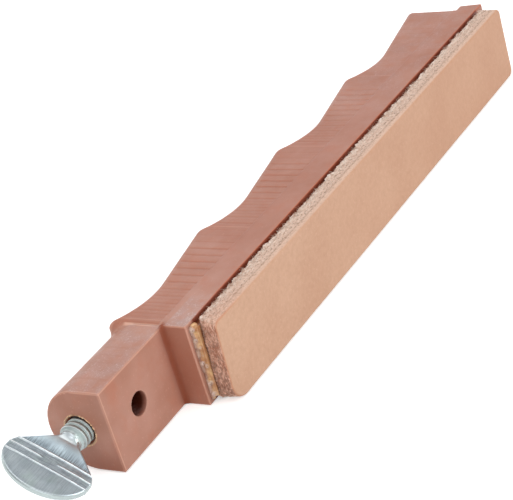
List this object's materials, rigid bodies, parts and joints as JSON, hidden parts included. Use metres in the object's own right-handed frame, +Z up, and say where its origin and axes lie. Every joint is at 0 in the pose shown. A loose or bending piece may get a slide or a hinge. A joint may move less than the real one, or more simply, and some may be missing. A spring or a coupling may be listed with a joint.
{
  "type": "leather strop for a guided sharpening rod",
  "caption": "Narrow leather strop on a finger-grooved plastic holder, with a thumb screw that clamps a guide rod in the head.",
  "frame": {"origin": "where the axis of the guide rod bore meets the axis of the thumb screw, in the middle of the head", "axes": "+X along the strop from the thumb screw to the far end, -Y out of the pad side of the head, the way the leather faces, +Z up with the strop lying on its side"},
  "size_m": [0.135, 0.0198, 0.0132],
  "materials": {
    "moulded_plastic": "satin moulded",
    "adhesive": "cured, glossy",
    "leather": "smooth grain side out",
    "zinc_plated_steel": "bright zinc plate"
  },
  "bodies": {
    "strop_body": {"holder": "moulded_plastic", "adhesive_layer": "adhesive", "leather_pad": "leather"},
    "screw_travel_body": {"thumb_screw_tip": "zinc_plated_steel"},
    "screw_turn_body": {"thumb_screw": "zinc_plated_steel"}
  },
  "joints": [
    {"name": "thumb_screw_travel", "type": "slide", "parent": "strop_body", "child": "screw_travel_body", "axis": [1, 0, 0], "range_m": [-0.00317, 0.00238]},
    {"name": "thumb_screw_turn", "type": "hinge", "parent": "screw_travel_body", "child": "screw_turn_body", "pos_m": [-0.007, 0, 0], "axis": [1, 0, 0], "range_deg": [-1440, 1080]}
  ],
  "couplings": [
    {"joint": "thumb_screw_turn", "follows": "thumb_screw_travel", "rad_per_m": 7915.8}
  ]
}
